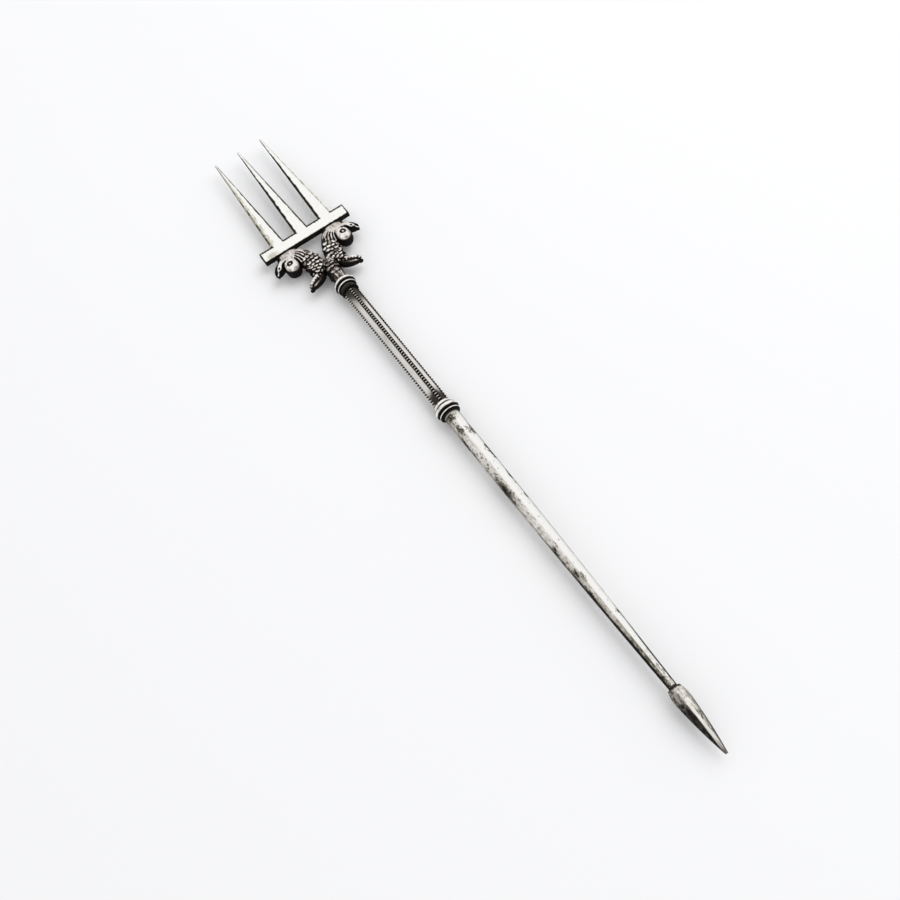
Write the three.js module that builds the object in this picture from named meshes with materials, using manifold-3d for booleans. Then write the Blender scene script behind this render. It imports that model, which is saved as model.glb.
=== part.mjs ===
// Trident olive fork: a sawn trident plate carried by two cast dolphins on a collared handle.
// Units are millimetres. +Y runs from the spear finial to the tine tips, +Z is up out of the show face
// and +X is to the right. The origin lies under the middle of the fork, on the surface that it rests on.

import * as THREE from 'three';
import { mergeVertices } from 'three/addons/utils/BufferGeometryUtils.js';
import Module from 'manifold-3d';

const wasm = await Module();
wasm.setup();

// Trident plate: a crossbar with tines that taper in width and, towards their points, in thickness
const PLATE_THICKNESS = 1.2;
const BAR_LENGTH = 22.9;
const BAR_WIDTH = 3.45;
const TINE_COUNT = 3;
const TINE_LENGTH = 33.8;
const TINE_PITCH = 6.55;
const TINE_ROOT_WIDTH = 3.3;
const TINE_TIP_WIDTH = 0.4;
const TINE_TIP_THICKNESS = 0.5;
const TINE_THINNING_LENGTH = 22;

// Dolphins: offsets are from the middle of the fork, and rises and drops are along it
const DOLPHIN_RISE = 8.95;
const HEAD_OFFSET = 6.9;
const HEAD_WIDTH = 5.2;
const HEAD_LENGTH = 6.8;
const HEAD_THICKNESS = 3.5;
const HEAD_SEAT_DEPTH = 0.12;
const CHEEK_DIAMETER = 3.7;
const CHEEK_THICKNESS = 4;
const CHEEK_DROP = 2.1;
const BODY_OFFSET = 2.6;
const BODY_WIDTH = 3.9;
const BODY_THICKNESS = 3.2;
const BODY_FOOT_DROP = 2.6;
const BEAK_REACH = 3.5;
const BEAK_DROP = 2.55;
const BEAK_WIDTH = 2.5;
const BEAK_THICKNESS = 2.1;
const FIN_REACH = 4.1;
const FIN_DROP = 4.5;
const FIN_WIDTH = 2.4;
const FIN_THICKNESS = 2.3;

// Tail stem: a tapered round boss with a flat on each side for the dolphins
const TAIL_LENGTH = 7.6;
const TAIL_WIDTH = 3.4;
const TAIL_BASE_DIAMETER = 3.5;
const TAIL_TOP_DIAMETER = 4.5;
const TAIL_TAPER_LENGTH = 4.1;

// Collars: half-round rings on a common core, each with a groove beside it
const COLLAR_CORE_DIAMETER = 3.7;
const UPPER_BEAD_DIAMETER = 5.3;
const UPPER_BEAD_WIDTH = 1.4;
const UPPER_RING_DIAMETER = 4.7;
const UPPER_RING_WIDTH = 0.8;
const UPPER_SEAT_DIAMETER = 4.2;
const UPPER_SEAT_LIP_WIDTH = 0.55;
const UPPER_SEAT_COVE_WIDTH = 0.65;
const LOWER_CAP_DIAMETER = 4.2;
const LOWER_CAP_WIDTH = 0.9;
const LOWER_BEAD_DIAMETER = 5.3;
const LOWER_BEAD_WIDTH = 1.5;
const LOWER_FOOT_DIAMETER = 4.7;
const LOWER_FOOT_LIP_WIDTH = 0.7;
const LOWER_FOOT_COVE_WIDTH = 0.6;
const COVE_DEPTH = 0.15;

// Stem: a square bar set cornerwise, with a milled wire on the flat of each of its edges
const STEM_LENGTH = 37.4;
const STEM_ACROSS_EDGES = 2.7;
const WIRE_WIDTH = 0.8;
const WIRE_BASE_HEIGHT = 0.22;
const WIRE_RIB_HEIGHT = 0.22;
const WIRE_RIB_PITCH = 0.72;
const WIRE_RIB_FOOT = 0.48;
const WIRE_RIB_LAND = 0.2;

// Tenons turned on the stem and the shaft, and the clearance of the bores that take them
const STEM_TENON_DIAMETER = 1.8;
const TAIL_TENON_DEPTH = 4.4;
const SHAFT_TENON_DEPTH = 5;
const FINIAL_TENON_DIAMETER = 0.9;
const FINIAL_TENON_DEPTH = 4.5;
const BORE_CLEARANCE = 0.06;
const BORE_END_GAP = 0.2;

// Shaft and spear finial
const SHAFT_LENGTH = 66.8;
const SHAFT_TOP_DIAMETER = 3.34;
const SHAFT_NECK_DIAMETER = 1.65;
const FINIAL_LENGTH = 12.9;
const FINIAL_WIDTH = 3.15;
const FINIAL_SHOULDER_LENGTH = 2.5;
const FINIAL_BASE_DIAMETER = 2.1;
const FINIAL_TIP_WIDTH = 0.5;
const FINIAL_FULLNESS = 0.775;
const FINIAL_FACET_LENGTH = 2;

// Facets of the round and lofted surfaces
const ROUND_SEGMENTS = 24;
const LOFT_SIDES = 16;
const LOFT_STEPS = 14;
const CURVE_STEPS = 6;
const LIMB_BLUNTNESS = 1.25;

// Places along the handle, each measured from the tip of the finial
const UPPER_SEAT_WIDTH = UPPER_SEAT_LIP_WIDTH + UPPER_SEAT_COVE_WIDTH;
const LOWER_FOOT_WIDTH = LOWER_FOOT_LIP_WIDTH + LOWER_FOOT_COVE_WIDTH;
const SHAFT_START = FINIAL_LENGTH;
const LOWER_FOOT_START = SHAFT_START + SHAFT_LENGTH;
const LOWER_BEAD_START = LOWER_FOOT_START + LOWER_FOOT_WIDTH;
const LOWER_CAP_START = LOWER_BEAD_START + LOWER_BEAD_WIDTH;
const STEM_START = LOWER_CAP_START + LOWER_CAP_WIDTH;
const UPPER_SEAT_START = STEM_START + STEM_LENGTH;
const UPPER_RING_START = UPPER_SEAT_START + UPPER_SEAT_WIDTH;
const UPPER_BEAD_START = UPPER_RING_START + UPPER_RING_WIDTH;
const TAIL_START = UPPER_BEAD_START + UPPER_BEAD_WIDTH;
const HEAD_START = TAIL_START + TAIL_LENGTH;
const TOTAL_LENGTH = HEAD_START + DOLPHIN_RISE + BAR_WIDTH + TINE_LENGTH;
const AXIS_HEIGHT = Math.max(UPPER_BEAD_DIAMETER, LOWER_BEAD_DIAMETER) / 2;
const STEM_BORE_RADIUS = STEM_TENON_DIAMETER / 2 + BORE_CLEARANCE;
const FINIAL_BORE_RADIUS = FINIAL_TENON_DIAMETER / 2 + BORE_CLEARANCE;

// Solids for cutting and joining

function toSolid(geometry) {
  const bare = new THREE.BufferGeometry();
  bare.setAttribute('position', geometry.getAttribute('position'));
  bare.setIndex(geometry.getIndex());
  const merged = mergeVertices(bare, 1e-5);
  const corners = merged.getIndex().array;
  const triangles = [];
  for (let i = 0; i < corners.length; i += 3) {
    const [a, b, c] = corners.subarray(i, i + 3);
    if (a !== b && b !== c && c !== a) triangles.push(a, b, c);
  }
  return new wasm.Manifold(new wasm.Mesh({
    numProp: 3,
    vertProperties: new Float32Array(merged.getAttribute('position').array),
    triVerts: new Uint32Array(triangles),
  }));
}

function toGeometry(solid) {
  const mesh = solid.getMesh();
  const geometry = new THREE.BufferGeometry();
  geometry.setAttribute('position', new THREE.BufferAttribute(new Float32Array(mesh.vertProperties), 3));
  geometry.setIndex(new THREE.BufferAttribute(new Uint32Array(mesh.triVerts), 1));
  geometry.computeVertexNormals();
  return geometry;
}

// A block between two opposite corners
function block(low, high) {
  const size = high.map((value, i) => value - low[i]);
  const middle = high.map((value, i) => (value + low[i]) / 2);
  return toSolid(new THREE.BoxGeometry(...size).translate(...middle));
}

function lathe(points) {
  return new THREE.LatheGeometry(points.map(([r, y]) => new THREE.Vector2(r, y)), ROUND_SEGMENTS);
}

// Turns a profile drawn as (y, z) and extruded sideways into place
function sideways() {
  const [x, y, z] = [new THREE.Vector3(1, 0, 0), new THREE.Vector3(0, 1, 0), new THREE.Vector3(0, 0, 1)];
  return new THREE.Matrix4().makeBasis(y, z, x);
}

function ellipsoid(width, length, thickness, x, y) {
  const sphere = new THREE.SphereGeometry(0.5, LOFT_SIDES, LOFT_STEPS);
  return sphere.scale(width, length, thickness).translate(x, y, 0);
}

// A limb: a closed loft along a flat curve, with its widths and thicknesses spread evenly along the way
function limb(points, widths, thicknesses) {
  const path = new THREE.CatmullRomCurve3(points.map(([x, y]) => new THREE.Vector3(x, y, 0)));
  const widthCurve = new THREE.SplineCurve(widths.map((width, i) => new THREE.Vector2(i, width / 2)));
  const depthCurve = new THREE.SplineCurve(thicknesses.map((depth, i) => new THREE.Vector2(i, depth / 2)));
  const geometry = new THREE.SphereGeometry(1, LOFT_SIDES, LOFT_STEPS);
  const position = geometry.getAttribute('position');
  for (let i = 0; i < position.count; i++) {
    const unit = new THREE.Vector3().fromBufferAttribute(position, i);
    const along = THREE.MathUtils.clamp((unit.y + 1) / 2, 0, 1);
    const radius = Math.hypot(unit.x, unit.z);
    const fullness = Math.min(1, radius * LIMB_BLUNTNESS) / Math.max(radius, 1e-6);
    const tangent = path.getTangent(along);
    const across = widthCurve.getPoint(along).y * fullness * unit.x;
    const depth = depthCurve.getPoint(along).y * fullness * unit.z;
    const point = path.getPoint(along);
    position.setXYZ(i, point.x + tangent.y * across, point.y - tangent.x * across, depth);
  }
  return geometry;
}

// Trident plate, in the head's frame, whose y starts where the dolphins meet the tail stem

function tridentPlate() {
  const barStart = DOLPHIN_RISE;
  const barEnd = barStart + BAR_WIDTH;
  const tipEnd = barEnd + TINE_LENGTH;
  const outline = new THREE.Shape();
  outline.moveTo(-BAR_LENGTH / 2, barStart);
  outline.lineTo(BAR_LENGTH / 2, barStart);
  outline.lineTo(BAR_LENGTH / 2, barEnd);
  for (let i = TINE_COUNT - 1; i >= 0; i--) {
    const middle = (i - (TINE_COUNT - 1) / 2) * TINE_PITCH;
    outline.lineTo(middle + TINE_ROOT_WIDTH / 2, barEnd);
    outline.lineTo(middle + TINE_TIP_WIDTH / 2, tipEnd);
    outline.lineTo(middle - TINE_TIP_WIDTH / 2, tipEnd);
    outline.lineTo(middle - TINE_ROOT_WIDTH / 2, barEnd);
  }
  outline.lineTo(-BAR_LENGTH / 2, barEnd);
  const sheet = new THREE.ExtrudeGeometry(outline, { depth: PLATE_THICKNESS, bevelEnabled: false });
  sheet.translate(0, 0, -PLATE_THICKNESS / 2);

  const side = new THREE.Shape();
  const thinStart = tipEnd - TINE_THINNING_LENGTH;
  side.moveTo(barStart - BAR_WIDTH, -PLATE_THICKNESS);
  side.lineTo(barStart - BAR_WIDTH, PLATE_THICKNESS);
  side.lineTo(thinStart, PLATE_THICKNESS);
  side.lineTo(thinStart, PLATE_THICKNESS / 2);
  side.lineTo(tipEnd, TINE_TIP_THICKNESS / 2);
  side.lineTo(tipEnd, -TINE_TIP_THICKNESS / 2);
  side.lineTo(thinStart, -PLATE_THICKNESS / 2);
  side.lineTo(thinStart, -PLATE_THICKNESS);
  const envelope = new THREE.ExtrudeGeometry(side, { depth: 2 * BAR_LENGTH, bevelEnabled: false });
  envelope.translate(0, 0, -BAR_LENGTH).applyMatrix4(sideways());
  return toGeometry(toSolid(sheet).intersect(toSolid(envelope)));
}

// Dolphins: the head seats on the bar, the body bends down to the tail stem and a fin curls out from its foot

function dolphin(side) {
  const headY = DOLPHIN_RISE + HEAD_SEAT_DEPTH - HEAD_LENGTH / 2;
  const place = (share, y) => [side * (BODY_OFFSET + share * (HEAD_OFFSET - BODY_OFFSET)), y];
  const body = limb(
    [place(0, -BODY_FOOT_DROP), place(-0.09, 0), place(0, 0.42 * headY), place(0.2, 0.8 * headY),
      place(0.52, 1.07 * headY), place(1, 1.15 * headY)],
    [0.85, 1.16, 1.03, 1, 1.08, 1.1].map((share) => share * BODY_WIDTH),
    [0.8, 0.95, 1, 1, 1, 1].map((share) => share * BODY_THICKNESS),
  );
  const reach = (share, y) => [side * (HEAD_OFFSET + share * BEAK_REACH), headY + y];
  const beak = limb(
    [reach(0.25, 0.7 * BEAK_DROP), reach(0.78, 0.55 * BEAK_DROP), reach(1, -0.2 * BEAK_DROP),
      reach(0.9, -BEAK_DROP)],
    [1.3, 1.05, 0.8, 0.5].map((share) => share * BEAK_WIDTH),
    [1.2, 1, 0.8, 0.5].map((share) => share * BEAK_THICKNESS),
  );
  const curl = (share, drop) => [side * (BODY_OFFSET + share * FIN_REACH), -drop * FIN_DROP];
  const fin = limb(
    [curl(0, 0.25), curl(0.3, 0.55), curl(0.7, 0.8), curl(1, 1.02)],
    [1.1, 1.1, 1, 0.7].map((share) => share * FIN_WIDTH),
    [1.1, 1.05, 1, 0.7].map((share) => share * FIN_THICKNESS),
  );
  const head = ellipsoid(HEAD_WIDTH, HEAD_LENGTH, HEAD_THICKNESS, side * HEAD_OFFSET, headY);
  const cheekY = headY - CHEEK_DROP;
  const cheek = ellipsoid(CHEEK_DIAMETER, CHEEK_DIAMETER, CHEEK_THICKNESS, side * HEAD_OFFSET, cheekY);

  const far = TOTAL_LENGTH;
  const middle = [0, -side * far].sort((a, b) => a - b);
  const otherHalf = block([middle[0], -far, -far], [middle[1], far, far]);
  const tailSpace = block([-TAIL_WIDTH / 2, -far, -far], [TAIL_WIDTH / 2, 0, far]);
  const plateSpace = block([-far, DOLPHIN_RISE, -far], [far, far, far]);
  const limbs = [body, beak, fin, cheek].map(toSolid);
  const casting = limbs.reduce((joined, solid) => joined.add(solid), toSolid(head));
  return toGeometry(casting.subtract(otherHalf).subtract(tailSpace).subtract(plateSpace));
}

function tailStem() {
  const boreEnd = TAIL_TENON_DEPTH + BORE_END_GAP;
  const boss = lathe([
    [0, boreEnd], [STEM_BORE_RADIUS, boreEnd], [STEM_BORE_RADIUS, 0], [TAIL_BASE_DIAMETER / 2, 0],
    [TAIL_TOP_DIAMETER / 2, TAIL_TAPER_LENGTH], [TAIL_TOP_DIAMETER / 2, TAIL_LENGTH], [0, TAIL_LENGTH],
  ]);
  const far = TOTAL_LENGTH;
  const flats = block([-TAIL_WIDTH / 2, -far, -far], [TAIL_WIDTH / 2, far, far]);
  return toGeometry(toSolid(boss).intersect(flats));
}

// Collar rings

// Points of a half-round between two places on the collar's core; a negative height makes a cove
function halfRound(yStart, yEnd, startRadius, endRadius, height) {
  const points = [];
  for (let i = 0; i <= CURVE_STEPS; i++) {
    const angle = Math.PI * i / CURVE_STEPS;
    const share = (1 - Math.cos(angle)) / 2;
    const base = THREE.MathUtils.lerp(startRadius, endRadius, share);
    points.push([base + height * Math.sin(angle), THREE.MathUtils.lerp(yStart, yEnd, share)]);
  }
  return points;
}

function ring(outline) {
  const start = outline[0][1];
  const end = outline[outline.length - 1][1];
  const inside = [[STEM_BORE_RADIUS, end], [STEM_BORE_RADIUS, start]];
  return lathe([inside[1], ...outline, inside[0], inside[1]]);
}

function beadRing(diameter, width) {
  const core = COLLAR_CORE_DIAMETER / 2;
  return ring(halfRound(0, width, core, core, diameter / 2 - core));
}

function upperSeat() {
  const core = COLLAR_CORE_DIAMETER / 2;
  const lip = halfRound(0, UPPER_SEAT_LIP_WIDTH, core, core, UPPER_SEAT_DIAMETER / 2 - core);
  const cove = halfRound(UPPER_SEAT_LIP_WIDTH, UPPER_SEAT_WIDTH, core, core, -COVE_DEPTH);
  return ring([...lip, ...cove.slice(1)]);
}

function lowerFoot() {
  const core = COLLAR_CORE_DIAMETER / 2;
  const cove = halfRound(0, LOWER_FOOT_COVE_WIDTH, SHAFT_TOP_DIAMETER / 2, core, -COVE_DEPTH);
  const lip = halfRound(LOWER_FOOT_COVE_WIDTH, LOWER_FOOT_WIDTH, core, core, LOWER_FOOT_DIAMETER / 2 - core);
  return ring([...cove, ...lip.slice(1)]);
}

// Stem and its wires

function stemCore() {
  const flat = STEM_ACROSS_EDGES / 2;
  const half = WIRE_WIDTH / 2;
  const section = new THREE.Shape([
    [half, -flat], [flat, -half], [flat, half], [half, flat],
    [-half, flat], [-flat, half], [-flat, -half], [-half, -flat],
  ].map(([x, y]) => new THREE.Vector2(x, y)));
  const bar = new THREE.ExtrudeGeometry(section, { depth: STEM_LENGTH, bevelEnabled: false });
  bar.rotateX(-Math.PI / 2);
  const lowest = -(LOWER_CAP_WIDTH + LOWER_BEAD_WIDTH + LOWER_FOOT_WIDTH + SHAFT_TENON_DEPTH);
  const highest = TAIL_START - STEM_START + TAIL_TENON_DEPTH;
  const radius = STEM_TENON_DIAMETER / 2;
  const tenons = lathe([[0, lowest], [radius, lowest], [radius, highest], [0, highest]]);
  return toGeometry(toSolid(bar).add(toSolid(tenons)));
}

function milledWire() {
  const foot = STEM_ACROSS_EDGES / 2;
  const valley = foot + WIRE_BASE_HEIGHT;
  const crest = valley + WIRE_RIB_HEIGHT;
  const ribs = Math.floor(STEM_LENGTH / WIRE_RIB_PITCH);
  const slope = (WIRE_RIB_FOOT - WIRE_RIB_LAND) / 2;
  const firstRib = (STEM_LENGTH - (ribs - 1) * WIRE_RIB_PITCH - WIRE_RIB_FOOT) / 2;
  const profile = new THREE.Shape();
  profile.moveTo(0, foot);
  profile.lineTo(STEM_LENGTH, foot);
  profile.lineTo(STEM_LENGTH, valley);
  for (let i = ribs - 1; i >= 0; i--) {
    const start = firstRib + i * WIRE_RIB_PITCH;
    profile.lineTo(start + WIRE_RIB_FOOT, valley);
    profile.lineTo(start + slope + WIRE_RIB_LAND, crest);
    profile.lineTo(start + slope, crest);
    profile.lineTo(start, valley);
  }
  profile.lineTo(0, valley);
  const wire = new THREE.ExtrudeGeometry(profile, { depth: WIRE_WIDTH, bevelEnabled: false });
  return wire.translate(0, 0, -WIRE_WIDTH / 2).applyMatrix4(sideways());
}

// Shaft and finial

function shaft() {
  const boreEnd = SHAFT_LENGTH - SHAFT_TENON_DEPTH - BORE_END_GAP;
  const points = [[0, -FINIAL_TENON_DEPTH], [FINIAL_TENON_DIAMETER / 2, -FINIAL_TENON_DEPTH]];
  points.push([FINIAL_TENON_DIAMETER / 2, 0]);
  for (let i = 0; i <= CURVE_STEPS; i++) {
    const fromTop = 1 - i / CURVE_STEPS;
    const diameter = SHAFT_TOP_DIAMETER - (SHAFT_TOP_DIAMETER - SHAFT_NECK_DIAMETER) * fromTop ** 2;
    points.push([diameter / 2, SHAFT_LENGTH * i / CURVE_STEPS]);
  }
  points.push([STEM_BORE_RADIUS, SHAFT_LENGTH], [STEM_BORE_RADIUS, boreEnd], [0, boreEnd]);
  return lathe(points);
}

// The finial is round at its shoulder and turns four-sided, edge up, towards its point
function spearFinial() {
  const widest = FINIAL_LENGTH - FINIAL_SHOULDER_LENGTH;
  const tip = new THREE.Vector2(FINIAL_TIP_WIDTH / 2, 0);
  const shoulder = new THREE.Vector2(FINIAL_WIDTH / 2, widest);
  const middle = new THREE.Vector2(THREE.MathUtils.lerp(tip.x, shoulder.x, FINIAL_FULLNESS), widest / 2);
  const blade = new THREE.QuadraticBezierCurve(tip, middle, shoulder).getPoints(CURVE_STEPS);
  const points = [[0, 0], ...blade.map(({ x, y }) => [x, y])];
  const base = FINIAL_BASE_DIAMETER / 2;
  for (let i = 1; i <= CURVE_STEPS; i++) {
    const angle = Math.PI / 2 * i / CURVE_STEPS;
    const radius = THREE.MathUtils.lerp(base, FINIAL_WIDTH / 2, Math.cos(angle));
    points.push([radius, widest + FINIAL_SHOULDER_LENGTH * Math.sin(angle)]);
  }
  const boreEnd = FINIAL_LENGTH - FINIAL_TENON_DEPTH - BORE_END_GAP;
  points.push([FINIAL_BORE_RADIUS, FINIAL_LENGTH], [FINIAL_BORE_RADIUS, boreEnd], [0, boreEnd]);
  const geometry = lathe(points);
  const position = geometry.getAttribute('position');
  const rows = points.length;
  for (let i = 0; i < position.count; i++) {
    const onBlade = i % rows <= CURVE_STEPS + 1;
    const x = position.getX(i);
    const z = position.getZ(i);
    const radius = Math.hypot(x, z);
    if (!onBlade || radius === 0) continue;
    const squareness = 1 - THREE.MathUtils.smoothstep(position.getY(i), FINIAL_FACET_LENGTH, widest);
    const inset = THREE.MathUtils.lerp(1, radius / (Math.abs(x) + Math.abs(z)), squareness);
    position.setX(i, x * inset);
    position.setZ(i, z * inset);
  }
  return geometry;
}

// Assembly

const brightSilver = { color: 0xdcdad5, metalness: 1, roughness: 0.32 };
const agedSilver = { color: 0xb4b0a8, metalness: 1, roughness: 0.4 };
const darkSilver = { color: 0x8f8b82, metalness: 1, roughness: 0.45 };

function piece(name, geometry, finish, y = 0) {
  const mesh = new THREE.Mesh(geometry, new THREE.MeshStandardMaterial(finish));
  mesh.name = name;
  mesh.position.y = y;
  return mesh;
}

const fork = new THREE.Group();
fork.position.set(0, -TOTAL_LENGTH / 2, AXIS_HEIGHT);

const head = new THREE.Group();
head.position.y = HEAD_START;
head.add(piece('trident_plate', tridentPlate(), brightSilver));
head.add(piece('left_dolphin', dolphin(-1), darkSilver));
head.add(piece('right_dolphin', dolphin(1), darkSilver));
fork.add(head);

const stem = new THREE.Group();
stem.position.y = STEM_START;
stem.add(piece('stem_core', stemCore(), agedSilver));
['top', 'right', 'bottom', 'left'].forEach((edge, quarter) => {
  const wire = piece(`milled_wire_${edge}`, milledWire(), agedSilver);
  wire.rotation.y = quarter * Math.PI / 2;
  stem.add(wire);
});
fork.add(stem);

const handle = [
  ['tail_stem', tailStem(), darkSilver, TAIL_START],
  ['upper_collar_bead', beadRing(UPPER_BEAD_DIAMETER, UPPER_BEAD_WIDTH), agedSilver, UPPER_BEAD_START],
  ['upper_collar_ring', beadRing(UPPER_RING_DIAMETER, UPPER_RING_WIDTH), agedSilver, UPPER_RING_START],
  ['upper_collar_seat', upperSeat(), agedSilver, UPPER_SEAT_START],
  ['lower_collar_cap', beadRing(LOWER_CAP_DIAMETER, LOWER_CAP_WIDTH), agedSilver, LOWER_CAP_START],
  ['lower_collar_bead', beadRing(LOWER_BEAD_DIAMETER, LOWER_BEAD_WIDTH), agedSilver, LOWER_BEAD_START],
  ['lower_collar_foot', lowerFoot(), agedSilver, LOWER_FOOT_START],
  ['shaft', shaft(), agedSilver, SHAFT_START],
  ['spear_finial', spearFinial(), agedSilver, 0],
];
for (const [name, geometry, finish, y] of handle) {
  fork.add(piece(name, geometry, finish, y));
}

export default fork;
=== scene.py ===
from math import atan2, copysign, cos, hypot, pi, radians, sin, sqrt

import bmesh
import bpy
import numpy as np
from mathutils import Matrix, Vector


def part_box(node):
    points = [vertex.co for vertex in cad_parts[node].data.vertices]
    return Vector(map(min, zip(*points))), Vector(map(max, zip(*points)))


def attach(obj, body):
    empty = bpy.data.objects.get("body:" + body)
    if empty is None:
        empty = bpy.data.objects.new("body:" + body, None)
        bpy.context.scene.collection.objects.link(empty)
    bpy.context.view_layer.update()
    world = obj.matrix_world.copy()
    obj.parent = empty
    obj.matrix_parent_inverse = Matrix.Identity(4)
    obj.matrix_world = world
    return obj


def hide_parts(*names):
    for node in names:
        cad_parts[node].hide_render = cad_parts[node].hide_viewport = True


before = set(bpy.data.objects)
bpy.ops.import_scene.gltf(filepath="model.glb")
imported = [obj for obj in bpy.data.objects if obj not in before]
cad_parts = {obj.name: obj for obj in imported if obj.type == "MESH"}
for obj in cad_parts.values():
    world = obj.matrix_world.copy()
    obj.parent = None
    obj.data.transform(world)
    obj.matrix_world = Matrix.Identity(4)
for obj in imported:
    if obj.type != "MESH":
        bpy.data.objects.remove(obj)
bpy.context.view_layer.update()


# Trident plate
# The crossbar and its three tines are sawn from one sheet of silver, filed to points and polished on top.
# The sawn edges, and a narrow ragged rim of the top along them, are dark to black and dull.

class Value:
    """A shader socket that can be used in sums, so that a mask reads as a formula."""

    def __init__(self, finish, socket):
        self.finish = finish
        self.socket = socket

    def math(self, operation, *others):
        return self.finish.node("ShaderNodeMath", {"operation": operation}, self, *others)

    def __add__(self, other):
        return self.math("ADD", other)

    def __sub__(self, other):
        return self.math("SUBTRACT", other)

    def __rsub__(self, other):
        return self.finish.node("ShaderNodeMath", {"operation": "SUBTRACT"}, other, self)

    def __mul__(self, other):
        return self.math("MULTIPLY", other)

    def __truediv__(self, other):
        return self.math("DIVIDE", other)

    __radd__ = __add__
    __rmul__ = __mul__

    def size(self):
        return self.math("ABSOLUTE")

    def most(self, other):
        return self.math("MAXIMUM", other)

    def least(self, other):
        return self.math("MINIMUM", other)

    def rise(self, start, end):
        """0 before start, 1 after end and a smooth step between; start may be the larger."""
        low, high = (start, end) if start < end else (end, start)
        step = self.finish.node(
            "ShaderNodeMapRange", {"interpolation_type": "SMOOTHSTEP"},
            Value=self, **{"From Min": low, "From Max": high},
        )
        return step if start < end else 1 - step


class Finish:
    """One node tree and the means of adding nodes to it."""

    def __init__(self, tree):
        self.tree = tree

    def set(self, socket, value):
        if isinstance(value, Value):
            self.tree.links.new(value.socket, socket)
        else:
            socket.default_value = value

    def node(self, kind, settings=None, *numbered, output=0, **named):
        made = self.tree.nodes.new(kind)
        for key, value in (settings or {}).items():
            if key == "stops":
                ramp = made.color_ramp.elements
                while len(ramp) < len(value):
                    ramp.new(1)
                for element, (place, color) in zip(ramp, value):
                    element.position = place
                    element.color = (*color, 1)
            else:
                setattr(made, key, value)
        for index, value in enumerate(numbered):
            self.set(made.inputs[index], value)
        for key, value in named.items():
            self.set(made.inputs[key], value)
        return Value(self, made.outputs[output])

    def vector(self, operation, *terms, output="Vector"):
        return self.node("ShaderNodeVectorMath", {"operation": operation}, *terms, output=output)

    def blend(self, share, first, second):
        return self.node(
            "ShaderNodeMix", {"data_type": "RGBA"}, output="Result", Factor=share, A=first, B=second,
        )


class Silver(Finish):
    """A material with its shader, its place on the fork and its usual masks."""

    tarnish_sheen = 0.1
    metal_lost = 0.75

    def __init__(self, name):
        self.material = bpy.data.materials.new(name)
        self.material.use_nodes = True
        super().__init__(self.material.node_tree)
        self.shader = self.tree.nodes["Principled BSDF"]
        self.shader.inputs["Specular IOR Level"].default_value = self.tarnish_sheen
        self.where = self.node("ShaderNodeTexCoord", output="Object")
        self.normal = self.node("ShaderNodeTexCoord", output="Normal")

    def noise(self, scale, stretch=(1, 1, 1), detail=4, roughness=0.55):
        place = self.node("ShaderNodeMapping", None, Vector=self.where, Scale=stretch)
        return self.node(
            "ShaderNodeTexNoise", None, Vector=place, Scale=scale, Detail=detail, Roughness=roughness,
        )

    def axis(self, name):
        return self.node("ShaderNodeSeparateXYZ", None, self.where, output=name)

    def facing(self, name):
        return self.node("ShaderNodeSeparateXYZ", None, self.normal, output=name)

    def mark(self, name):
        return self.node("ShaderNodeAttribute", {"attribute_name": name}, output="Fac")

    def dress(self, tarnish_and_shade, stops, roughness, height, depth):
        """Colours the metal from clean to black by its tarnish and painted shade, and feeds the shader."""
        color = self.node("ShaderNodeValToRGB", {"stops": stops}, tarnish_and_shade, output="Color")
        self.set(self.shader.inputs["Base Color"], color)
        self.set(self.shader.inputs["Roughness"], roughness)
        self.set(self.shader.inputs["Metallic"], 1 - self.metal_lost * tarnish_and_shade)
        bump = self.node("ShaderNodeBump", None, Height=height, Distance=depth)
        self.set(self.shader.inputs["Normal"], bump)


def place_piece(shape, name, finish, node, crease=radians(35)):
    """Makes a piece of a bmesh, in place of a node of the frame."""
    mesh = bpy.data.meshes.new(name)
    shape.to_mesh(mesh)
    shape.free()
    mesh.shade_smooth()
    mesh.set_sharp_from_angle(angle=crease)
    mesh.materials.append(finish.material)
    piece = bpy.data.objects.new(name, mesh)
    bpy.context.scene.collection.objects.link(piece)
    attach(piece, "root")
    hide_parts(node)


plate_low, plate_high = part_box("trident_plate")
plate_middle = (plate_low.z + plate_high.z) / 2
BAR_WIDTH = 0.00345
TINE_PITCH = 0.00655
TINE_ROOT_WIDTH = 0.0033
TINE_TIP_WIDTH = 0.0004
TINE_TIP_THICKNESS = 0.0005
TINE_THINNING_LENGTH = 0.022
PLATE_EDGE_ROUND = 0.00009

bar_end = plate_low.y + BAR_WIDTH
corners = [(plate_low.x, plate_low.y), (plate_high.x, plate_low.y), (plate_high.x, bar_end)]
for tine in (1, 0, -1):
    middle = tine * TINE_PITCH
    corners.append((middle + TINE_ROOT_WIDTH / 2, bar_end))
    corners.append((middle + TINE_TIP_WIDTH / 2, plate_high.y))
    corners.append((middle - TINE_TIP_WIDTH / 2, plate_high.y))
    corners.append((middle - TINE_ROOT_WIDTH / 2, bar_end))
corners.append((plate_low.x, bar_end))

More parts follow.
